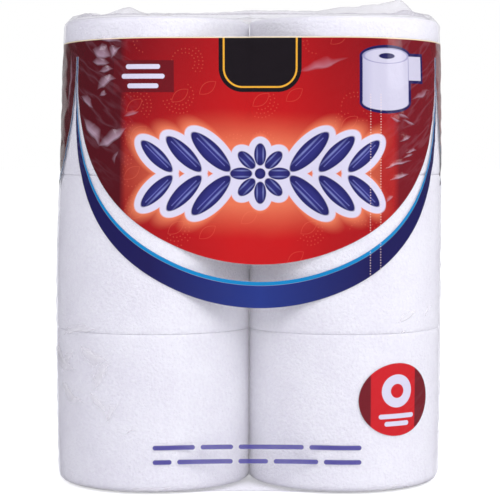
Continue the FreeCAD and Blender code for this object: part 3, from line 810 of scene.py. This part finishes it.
# The note: three white bars on a darker box. All bars are as high as small print is.
BAR_HALF = 1.5
note_x = along + 66.8
note_z = up - 263.8
note_box = inside(all_of([abs(note_x) - 19.8, abs(note_z) - 10.0]))
note_bars = inside(any_of([
    bar(note_x, note_z - 6.0 * (1 - line), 14.0 * share, BAR_HALF)
    for line, share in enumerate((0.8, 1.0, 0.72))
]))

# The seal: a red disc with a roll's end and two bars in it. Its left and right edges are darker, as
# painted shade.
seal_x = along - 95
seal_z = up - 60
seal = inside(oval(seal_x, seal_z, 26.0, 23.2))
seal_shade = 1 - seal_x.within(-18.6, -17.9) * (1 - seal_x.within(14.0, 14.7))
seal_ring_reach = oval(seal_x, seal_z - 5.5, 11.0, 10.5)
seal_marks = inside(any_of([
    abs(seal_ring_reach + 3.0) - 3.0,
    bar(seal_x, seal_z + 10.5, 13.0, BAR_HALF),
    bar(seal_x, seal_z + 15.3, 9.0, BAR_HALF),
]))

# The small print: two rows of bars of uneven length.
ROW_START = -61.0
ROW_LENGTH = 132
ROW_GAP = 3.6
text_bars = []
for row_height, shares in ((30.4, (0.22, 0.17, 0.34, 0.27)), (21.2, (0.1, 0.3, 0.16, 0.24, 0.2))):
    start = ROW_START
    filled = ROW_LENGTH - ROW_GAP * (len(shares) - 1)
    for share in shares:
        half = filled * share / 2
        text_bars.append(bar(along - start - half, up - row_height, half, BAR_HALF))
        start += filled * share + ROW_GAP
text = inside(any_of(text_bars))

# Two lines of fine holes, for tearing the film open.
HOLE_STEP = 1.7
HOLE_RADIUS = 0.36
hole_z = ((up / HOLE_STEP).maths("FRACT") - 0.5) * HOLE_STEP
holes = any_of([
    (abs(along - line) ** 2.0 + hole_z * hole_z).maths("SQRT") - HOLE_RADIUS
    for line in (76.1, 82.8)
])
holes = inside(holes, 0.3) * up.within(112.0, 114.0) * (1 - up.within(252.0, 254.0))

# The inks in the order that they are laid down, and how far they cover the clear film.
ink = film.blend(field, HAZE, red)
ink = film.blend(sky_line, ink, SKY)
# Painted light and shade: the navy band is lighter in the middle of the front and back, and darker
# toward the pack's ends.
ink = film.blend(navy_band, ink, film.blend(1 - across.within(0.0, 70.0), NAVY, NAVY_PAINTED_LIT))
ink = film.blend(pale, ink, WHITE)
ink = film.blend(navy_motif, ink, motif_colour)
ink = film.blend(tab, ink, BLACK)
ink = film.blend(tab_line, ink, GOLD)
ink = film.blend(note_box * 0.85, ink, NOTE_DARK)
ink = film.blend(note_bars, ink, WHITE)
ink = film.blend(sign_border, ink, NAVY)
ink = film.blend(sign_face, ink, SIGN_PALE)
ink = film.blend(sign_face * (1 - sign_shadow) * 0.4, ink, SIGN_SHADE)
ink = film.blend((sign_rim + sign_edge).maths("MINIMUM", 1.0) * 0.6, ink, SIGN_LINE)
ink = film.blend(sign_core, ink, NAVY)
# The seal's darker left and right edges are painted shade.
ink = film.blend(seal, ink, film.blend(seal_shade, SEAL_RED, SEAL_RED_PAINTED_SHADE))
ink = film.blend(seal_marks, ink, WHITE)
ink = film.blend(text, ink, TEXT_BLUE)
ink = film.blend(cream_line * 0.9, ink, CREAM)
ink = film.blend(holes * 0.55, ink, HOLE_PALE)
cover = any_of([
    1 - field, 1 - sky_line, 1 - navy_band, 1 - pale * below_top, 1 - tab, 1 - sign_border,
    1 - seal, 1 - text * 0.85, 1 - cream_line,
])
inked = 1 - cover

# The film's fine creases, at the places of those in its mesh, a little warped, and white on their
# ridges: partly stretched film's whitening, partly a painted glint. Each vector carries three creases at
# a time, as one node then does for three.
warp = film.split(film.add("ShaderNodeTexNoise", {"noise_dimensions": "2D"}, {
    "Vector": film.add("ShaderNodeUVMap", {"uv_map": "print"}), "Scale": 0.07, "Detail": 1.0,
}, 1))
crease_along = along + (warp[0] - 0.5) * 6
crease_up = up + (warp[1] - 0.5) * 6
along_lanes = film.add("ShaderNodeCombineXYZ", {}, {0: crease_along, 1: crease_along, 2: crease_along})
up_lanes = film.add("ShaderNodeCombineXYZ", {}, {0: crease_up, 1: crease_up, 2: crease_up})


def lanes(operation, *values):
    """A Vector Math node, which works out three numbers at once."""
    return film.add("ShaderNodeVectorMath", {"operation": operation}, dict(enumerate(values)))


def three_creases(creases):
    """The heights of three creases at a place on the film. Outside a crease they are negative."""
    rows = []
    for from_along, from_up, to_along, to_up, width, height in creases:
        long = math.hypot(to_along - from_along, to_up - from_up)
        step_along = (to_along - from_along) / long
        step_up = (to_up - from_up) / long
        rows.append((
            step_along / long,
            step_up / long,
            -(from_along * step_along + from_up * step_up) / long - 0.5,
            -step_up,
            step_along,
            from_along * step_up - from_up * step_along,
            1 / (width * 0.3),
            -1 / width,
            height,
            -height,
        ))
    (long_along, long_up, long_start, side_along, side_up, side_start,
     sharp, soft_side, tall, lowered) = zip(*rows)
    lengthwise = lanes("MULTIPLY_ADD", up_lanes, long_up, long_start)
    lengthwise = lanes("MULTIPLY_ADD", along_lanes, long_along, lengthwise)
    sideways = lanes("MULTIPLY_ADD", up_lanes, side_up, side_start)
    sideways = lanes("MULTIPLY_ADD", along_lanes, side_along, sideways)
    fall = lanes("MAXIMUM", lanes("MULTIPLY", sideways, sharp), lanes("MULTIPLY", sideways, soft_side))
    past_end = lanes("MULTIPLY_ADD", lanes("ABSOLUTE", lengthwise), (1 / 0.35,) * 3, (-0.15 / 0.35,) * 3)
    drop = lanes("ADD", fall, lanes("MAXIMUM", past_end, (0, 0, 0)))
    return lanes("MULTIPLY_ADD", drop, lowered, tall)


filled_up = CREASES + CREASES[:-len(CREASES) % 3]
tallest = three_creases(filled_up[:3])
for first in range(3, len(filled_up), 3):
    tallest = lanes("MAXIMUM", tallest, three_creases(filled_up[first:first + 3]))
ridges = all_of(film.split(tallest)).maths("MAXIMUM", 0.0)
mirror_along = abs(along - SHIFT)
stretched = film.add("ShaderNodeCombineXYZ", {}, {
    0: (mirror_along * 0.82 + up * 0.57) / 30, 1: (mirror_along * -0.57 + up * 0.82) / 8,
})
streak_noise = film.add("ShaderNodeTexNoise", {"noise_dimensions": "2D"}, {
    "Vector": stretched, "Scale": 1.0, "Detail": 2.0,
})
streaks = (1 - abs(streak_noise - 0.42) * 9).maths("MAXIMUM", 0.0) ** 1.5
from_pull = from_end.within(20.0, 34.0) * (1 - from_end.within(60.0, 88.0))
slack_high = from_pull * up.within(190.0, 225.0)
slack_low = (1 - from_end.within(30.0, 100.0)) * 0.4 * (1 - up.within(60.0, 110.0))
slack = slack_high.maths("MAXIMUM", slack_low).maths("MAXIMUM", 0.02)
ridges = ridges + streaks * slack * 0.1
ripple = film.add("ShaderNodeTexNoise", {}, {
    "Vector": film.add("ShaderNodeTexCoord", {}, {}, 3),
    "Scale": 60.0,
    "Detail": 3.0,
})
pimples = film.add("ShaderNodeTexNoise", {}, {
    "Vector": film.add("ShaderNodeTexCoord", {}, {}, 3),
    "Scale": 420.0,
    "Detail": 2.0,
})
film_height = ridges * 0.6 + ripple * 0.25 + pimples * 0.08
# Painted glint: the crease ridges are whitened in colour, partly as stretched film whitens and partly
# standing in for their glints.
crease_whitening_and_glint = film.blend(inked, CLEAR, CREASE_WHITE_AND_GLINT_ON_INK)
ink = film.blend((ridges * 0.5).maths("MINIMUM", 0.6), ink, crease_whitening_and_glint)

# The film itself: glossy where it is printed, and elsewhere clear, with a thin white veil where
# it is folded, creased or seen at a slant. On the creases the white is partly a painted glint.
skin = film.add("ShaderNodeBsdfPrincipled", {}, {
    "Base Color": ink,
    "Roughness": 0.16,
    "IOR": 1.5,
    "Coat Weight": 0.5,
    "Coat Roughness": 0.06,
    "Normal": film.add("ShaderNodeBump", {}, {
        "Height": film_height, "Strength": 1.0, "Distance": 0.001,
    }),
})
facing = film.add("ShaderNodeLayerWeight", {}, {"Blend": 0.25}, 1)
folded = 1 - up.within(FOOT + 1.0, FOOT + 7.0) * (1 - up.within(HEAD - 3.0, HEAD + 2.0))
crease_whitening_and_glint_cover = ridges.maths("MINIMUM", 1.0)
bare_cover = 0.1 + facing * 0.3 + folded * 0.08 + crease_whitening_and_glint_cover * 0.4
film.add("ShaderNodeOutputMaterial", {}, {
    "Surface": film.add("ShaderNodeMixShader", {}, {
        0: inked + (1 - inked) * bare_cover,
        1: film.add("ShaderNodeBsdfTransparent", {}, {"Color": CLEAR}),
        2: skin,
    }),
})

wrap = smooth_object("printed_wrap", film_form, film_material)
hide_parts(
    "film_wrap", "ink_red", "ink_maroon", "ink_sky", "ink_navy", "ink_white", "ink_black", "ink_gold",
)
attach(wrap, "root")
